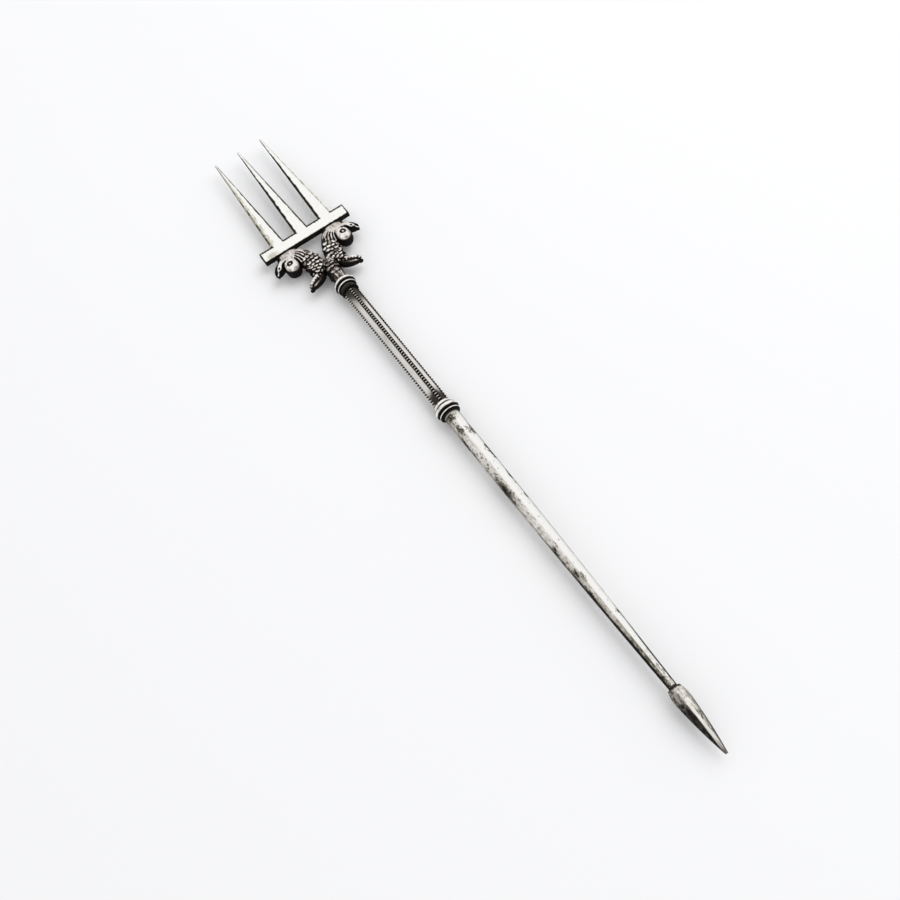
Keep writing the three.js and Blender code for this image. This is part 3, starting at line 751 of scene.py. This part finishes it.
wire_silver = Silver("wire_silver")
from_stem = wire_silver.node(
    "ShaderNodeMapping", None, Vector=wire_silver.where, Location=(0, 0, -handle_axis), Scale=(1, 0, 1),
)
away = wire_silver.vector("NORMALIZE", from_stem)
outward = wire_silver.vector("DOT_PRODUCT", away, wire_silver.normal, output="Value")
wear = wire_silver.noise(1300)
strip_top = wire_low.z - handle_axis + STRIP_HEIGHT
height = wire_silver.vector("LENGTH", from_stem, output="Value")
raised = height.rise(strip_top + 0.00006, strip_top + 0.00016)
from_rung = ((wire_silver.axis("Y") - first_rung) / RUNG_PITCH).math("PINGPONG", 0.5)
on_right = wire_silver.axis("X").rise(half_wire, half_flat)
strip_edge = (0.25 + 0.75 * from_rung.rise(0.16, 0.26)).most(on_right)
between = (1 - raised) * outward.rise(0.3, 0.7).most(strip_edge)
flank = wire_silver.facing("Y").size().rise(0.35, 0.75) * (0.65 + 0.5 * wear)
tarnish_and_shade = between.most(flank).most(on_right * 0.45).most(wear.rise(0.5, 0.75) * 0.3)
WIRE_TONES = [
    (0, (0.92, 0.9, 0.86)), (0.35, (0.42, 0.39, 0.35)),
    (0.7, (0.05, 0.045, 0.04)), (1, (0.005, 0.005, 0.004)),
]
wire_silver.dress(
    tarnish_and_shade, WIRE_TONES, roughness=0.28 + 0.2 * wear + 0.3 * tarnish_and_shade, height=wear, depth=0.00001,
)
for quarter, edge in enumerate(("top", "right", "bottom", "left")):
    wire = strip.copy()
    turn = Matrix.Rotation(quarter * pi / 2, 3, "Y")
    bmesh.ops.rotate(wire, verts=wire.verts[:], cent=(0, 0, handle_axis), matrix=turn)
    place_piece(wire, f"ribbed_wire_{edge}", wire_silver, f"milled_wire_{edge}")


# Shaft
# A plain round rod, drawn to a slow taper and let into the finial with a small tenon.
# It is clean and bright along the right; its left half is painted grey as shade, flecked with tarnish, and a
# thin painted shade line runs down each edge, with black stains where the tarnish has bitten in.

finial_low, finial_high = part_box("spear_finial")
SHAFT_NECK = 0.000825
SHAFT_STEPS = 24
profile = [(0, finial_high.y)]
for step in range(SHAFT_STEPS + 1):
    from_top = 1 - step / SHAFT_STEPS
    radius = shaft_top - (shaft_top - SHAFT_NECK) * from_top ** 2
    profile.append((radius, finial_high.y + (shaft_high.y - finial_high.y) * step / SHAFT_STEPS))
profile.append((0, shaft_high.y))

# Stains as (across, along, half width, half length, darkness) in millimetres
STAINS = [
    (-0.7, -10.2, 0.8, 1.0, 0.8), (-0.85, -13.4, 0.45, 1.8, 0.9), (-1.6, -16.4, 0.18, 1.6, 1.1),
    (1.1, -14.4, 0.6, 1.2, 0.65), (1.5, -20.3, 0.3, 2.4, 1.2), (-1.2, -23.8, 0.2, 0.3, 1.0),
    (-1.15, -29.4, 0.5, 3.8, 0.75), (-1.4, -30.0, 0.22, 3.4, 1.1), (1.5, -27.8, 0.3, 1.5, 1.2),
    (1.5, -32.2, 0.25, 1.4, 1.1), (-1.2, -45.2, 0.3, 1.0, 1.0), (-0.85, -51.0, 0.35, 0.9, 1.1),
    (-0.25, -52.0, 0.3, 1.0, 0.65), (-1.05, -55.7, 0.2, 1.7, 1.3), (-1.0, -58.4, 0.25, 1.3, 0.8),
    (1.1, -60.9, 0.25, 0.9, 1.1), (-0.98, -66.3, 0.12, 1.6, 1.3), (-0.9, -71.5, 0.1, 4.5, 1.1),
]
LOWER_HALF = (-0.035, -0.06)
FINIAL_END = (-0.058, -0.07)
shaft_silver = Silver("shaft_silver")
patch = shaft_silver.noise(230, (1, 0.35, 1), detail=9, roughness=0.68)
fleck = shaft_silver.noise(1100, (1, 0.5, 1), detail=6, roughness=0.7)
pits = shaft_silver.noise(2600, (1, 0.45, 1), detail=5, roughness=0.65)
brush = shaft_silver.noise(2200, (1, 0.06, 1), detail=3)
place = shaft_silver.axis("Y")
# Painted shade: the left half is greyed to where the bright reflection ends, and thin painted shade lines
# run along both edges.
left = (shaft_silver.facing("X") + (pits - 0.5) * 0.2).rise(-0.04, -0.3)
by_finial = place.rise(*FINIAL_END)
toward_finial = 0.55 * place.rise(*LOWER_HALF) + 0.7 * by_finial
shade_at_right_edge = (shaft_silver.facing("X") + 0.2 * by_finial).rise(0.72, 0.96)
shade_at_left_edge = (shaft_silver.facing("X") - 0.12 * toward_finial).rise(-0.78, -0.98)
# dull is painted shade on the left half and along both edges, mixed with flecks and pits of tarnish; the
# specks, clouds, shoulder and neck marks below are also made heavier on the left half as painted shade.
dull = left * (0.18 + 0.32 * toward_finial + 0.6 * (fleck - 0.5) + 1.1 * (pits - 0.5))
dull = dull + shade_at_left_edge * (0.8 * fleck - 0.12 + 0.55 * toward_finial)
dull = dull + shade_at_right_edge * (1.25 * fleck + 0.5 * by_finial)
specks = (pits + left * 0.065).rise(0.62, 0.69) * 0.65
clouds = (patch + left * 0.1).rise(0.6, 0.76) * (0.15 + 0.5 * pits)
tarnish_and_shade = dull.most(specks).most(clouds)
bite = 0.68 + 0.75 * pits.rise(0.44, 0.56)
ragged = (fleck - 0.5) * 5 + (pits - 0.5) * 6
for across, down, width, length, darkness in STAINS:
    spot = shaft_silver.node(
        "ShaderNodeMapping", None, Vector=shaft_silver.where, Scale=(1000 / width, 1000 / length, 0),
        Location=(-across / width, -down / length, 0),
    )
    stain = (shaft_silver.vector("LENGTH", spot, output="Value") + ragged).rise(1.25, 0.6)
    tarnish_and_shade = tarnish_and_shade.most(stain * bite * darkness)
ragged_place = place + (fleck - 0.5) * 0.003
shoulder = ragged_place.rise(shaft_high.y - 0.0016, shaft_high.y - 0.0002)
neck = ragged_place.rise(finial_high.y + 0.011, finial_high.y + 0.001)
neck = neck * (0.04 + 0.55 * pits.rise(0.44, 0.6) + 0.36 * left)
joint = place.rise(finial_high.y + 0.0006, finial_high.y + 0.0001)
tarnish_and_shade = tarnish_and_shade.most(shoulder * (0.25 + 0.5 * left)).most(neck).most(joint * 0.9)
SHAFT_TONES = [
    (0, (0.92, 0.912, 0.895)), (0.3, (0.6, 0.57, 0.52)),
    (0.65, (0.12, 0.11, 0.085)), (1, (0.012, 0.011, 0.009)),
]
wear = brush * 0.5 + fleck * 0.5
shaft_silver.dress(
    tarnish_and_shade, SHAFT_TONES, roughness=0.27 + 0.16 * brush + 0.4 * tarnish_and_shade, height=wear, depth=0.00001,
)
place_piece(turned(profile), "shaft_rod", shaft_silver, "shaft")


# Spear finial
# A turned bud with a rounded shoulder, filed to four flats that meet at a blunt point, with one edge up.
# It is duller than the rest and its shoulder is mottled; its left flats are painted nearly black and its
# right flats grey as shade, with a painted shade line along the right edge and the ridge between them left
# clean.

FINIAL_SHOULDER = 0.0025
FINIAL_BASE = 0.00105
FINIAL_TIP = 0.00025
FINIAL_FULLNESS = 0.775
FACET_START = 0.002
FINIAL_STEPS = 20
finial_radius = (finial_high.x - finial_low.x) / 2
widest = finial_high.y - FINIAL_SHOULDER
profile = [(0, finial_low.y)]
for step in range(FINIAL_STEPS + 1):
    share = step / FINIAL_STEPS
    swell = 2 * FINIAL_FULLNESS * share * (1 - share) + share ** 2
    radius = FINIAL_TIP + (finial_radius - FINIAL_TIP) * swell
    profile.append((radius, finial_low.y + (widest - finial_low.y) * share))
for step in range(1, FINIAL_STEPS + 1):
    angle = pi / 2 * step / FINIAL_STEPS
    radius = FINIAL_BASE + (finial_radius - FINIAL_BASE) * cos(angle)
    profile.append((radius, widest + FINIAL_SHOULDER * sin(angle)))
profile.append((0, finial_high.y))
finial = turned(profile)
for vert in finial.verts:
    x, z = vert.co.x, vert.co.z - handle_axis
    if vert.co.y > widest or abs(x) + abs(z) < 1e-9:
        continue
    share = min(max((vert.co.y - finial_low.y - FACET_START) / (widest - finial_low.y - FACET_START), 0), 1)
    squareness = 1 - share * share * (3 - 2 * share)
    inset = 1 + (sqrt(x * x + z * z) / (abs(x) + abs(z)) - 1) * squareness
    vert.co.x = x * inset
    vert.co.z = handle_axis + z * inset

finial_silver = Silver("finial_silver")
cloud = finial_silver.noise(600, (1, 0.6, 1), detail=7, roughness=0.68)
pits = finial_silver.noise(2400, (1, 0.4, 1), detail=5, roughness=0.65)
file_marks = finial_silver.noise(1800, (1, 0.2, 1))
place = finial_silver.axis("Y")
# Painted shade: the left flats nearly black and the right flats grey, both darker towards the point, and a
# dark painted shade line along the right edge; file marks and grains are mixed in.
aside = finial_silver.facing("X") + (cloud - 0.5) * 0.5 + (pits - 0.5) * 0.6
left = aside.rise(0.0, -0.45)
right = aside.rise(0.1, 0.5)
blade = (place + (cloud - 0.5) * 0.006).rise(widest + 0.002, widest - 0.0035)
tip = (place + (cloud - 0.5) * 0.003).rise(finial_low.y + 0.0035, finial_low.y)
neck = (place + (cloud - 0.5) * 0.001).rise(finial_high.y - 0.0006, finial_high.y - 0.0001)
from_ridge = finial_silver.axis("X") / (place - finial_low.y + 0.001)
shade_at_right_edge = (from_ridge + (cloud - 0.5) * 0.06).rise(0.06, 0.15) * (0.3 + 0.85 * pits)
grains = pits.rise(0.42, 0.6) - 0.45
mottled = 0.06 + cloud.rise(0.4, 0.62) * 0.26 + grains * 0.4
facet_shade_and_marks = (left * (0.5 + 0.5 * blade)).most(right * (0.16 + 0.2 * blade))
facet_shade_and_marks = facet_shade_and_marks + grains * 0.42 + (file_marks - 0.5) * 0.6
ridge = finial_silver.axis("X").size().rise(0.00036, 0.00016)
ridge = ridge * finial_silver.facing("Z").rise(0.3, 0.6) * blade
tarnish_and_shade = (facet_shade_and_marks.most(mottled) * (1 - ridge)).most(tip * 0.6).most(neck).most(shade_at_right_edge)
FINIAL_TONES = [
    (0, (0.9, 0.885, 0.85)), (0.3, (0.5, 0.465, 0.415)),
    (0.65, (0.1, 0.088, 0.075)), (1, (0.012, 0.011, 0.009)),
]
finial_silver.dress(
    tarnish_and_shade, FINIAL_TONES, roughness=0.3 + 0.18 * file_marks + 0.25 * tarnish_and_shade, height=file_marks,
    depth=0.00001,
)
place_piece(finial, "finial", finial_silver, "spear_finial")


# Studio
# A white table under an even room light, with a soft lamp from the fork's right side that casts its shadow.
# The metal mirrors pale walls and a white ceiling. The camera stands where the photograph was taken from.

BACKDROP = (0.95, 0.953, 0.965, 1)
TABLE_REACH = 3
TABLE_FADE = (0.35, 1.0)
table = bmesh.new()
bmesh.ops.create_grid(table, x_segments=1, y_segments=1, size=TABLE_REACH)
table_mesh = bpy.data.meshes.new("table")
table.to_mesh(table_mesh)
table.free()
table_white = bpy.data.materials.new("table_white")
table_white.use_nodes = True
table_shader = table_white.node_tree.nodes["Principled BSDF"]
table_shader.inputs["Base Color"].default_value = BACKDROP
table_shader.inputs["Roughness"].default_value = 0.9
table_shader.inputs["Specular IOR Level"].default_value = 0.0
table_finish = Finish(table_white.node_tree)
table_place = table_finish.node("ShaderNodeTexCoord", output="Object")
far_off = table_finish.vector("LENGTH", table_place, output="Value").rise(*TABLE_FADE)
in_camera = table_finish.node("ShaderNodeLightPath", output="Is Camera Ray")
far_white = table_finish.node("ShaderNodeEmission", None, Color=BACKDROP)
near_white = Value(table_finish, table_shader.outputs["BSDF"])
table_look = table_finish.node("ShaderNodeMixShader", None, far_off * in_camera, near_white, far_white)
table_finish.set(table_white.node_tree.nodes["Material Output"].inputs["Surface"], table_look)
table_mesh.materials.append(table_white)
table_top = bpy.data.objects.new("table", table_mesh)
bpy.context.scene.collection.objects.link(table_top)

ROOM_LIGHT = (0.75, 0.75, 0.75, 1)
WALLS = (0.7, 0.69, 0.685, 1)
CEILING = (1, 0.998, 0.99, 1)
CEILING_WAY = (0.25, 0.3, 0.92)
world = bpy.data.worlds.new("studio")
world.use_nodes = True
room = Finish(world.node_tree)
direction = room.node("ShaderNodeTexCoord", output="Generated")
upward = room.vector("DOT_PRODUCT", direction, CEILING_WAY, output="Value")
mirrored = room.blend(upward.rise(0.0, 0.75), WALLS, CEILING)
in_metal = room.node("ShaderNodeLightPath", output="Is Glossy Ray")
in_camera = room.node("ShaderNodeLightPath", output="Is Camera Ray")
view = room.blend(in_camera, room.blend(in_metal, ROOM_LIGHT, mirrored), BACKDROP)
room.set(world.node_tree.nodes["Background"].inputs["Color"], view)
bpy.context.scene.world = world

SOFTBOX_SIZE = 0.8
SOFTBOX_WATTS = 3.2
SOFTBOX_PLACE = Vector((0.55, 0.15, 0.82)) * 0.9
softbox = bpy.data.lights.new("softbox", "AREA")
softbox.size = SOFTBOX_SIZE
softbox.energy = SOFTBOX_WATTS
softbox_object = bpy.data.objects.new("softbox", softbox)
softbox_object.location = SOFTBOX_PLACE
softbox_object.rotation_euler = (-SOFTBOX_PLACE).to_track_quat("-Z", "Y").to_euler()
softbox_object.visible_glossy = False
bpy.context.scene.collection.objects.link(softbox_object)

CAMERA_PLACE = Vector((-0.03044, -0.0978, 0.15806))
CAMERA_TARGET = Vector((-0.00465, -0.0152, 0.00265))
CAMERA_ROLL = radians(-18.72)
camera = bpy.data.cameras.new("camera")
camera.lens = 36
camera.sensor_width = 36
camera.clip_start = 0.01
camera_object = bpy.data.objects.new("camera", camera)
aim = (CAMERA_TARGET - CAMERA_PLACE).to_track_quat("-Z", "Y").to_matrix().to_4x4()
camera_object.matrix_world = Matrix.Translation(CAMERA_PLACE) @ aim @ Matrix.Rotation(CAMERA_ROLL, 4, "Z")
bpy.context.scene.collection.objects.link(camera_object)
bpy.context.scene.camera = camera_object
bpy.context.scene.view_settings.view_transform = "Standard"
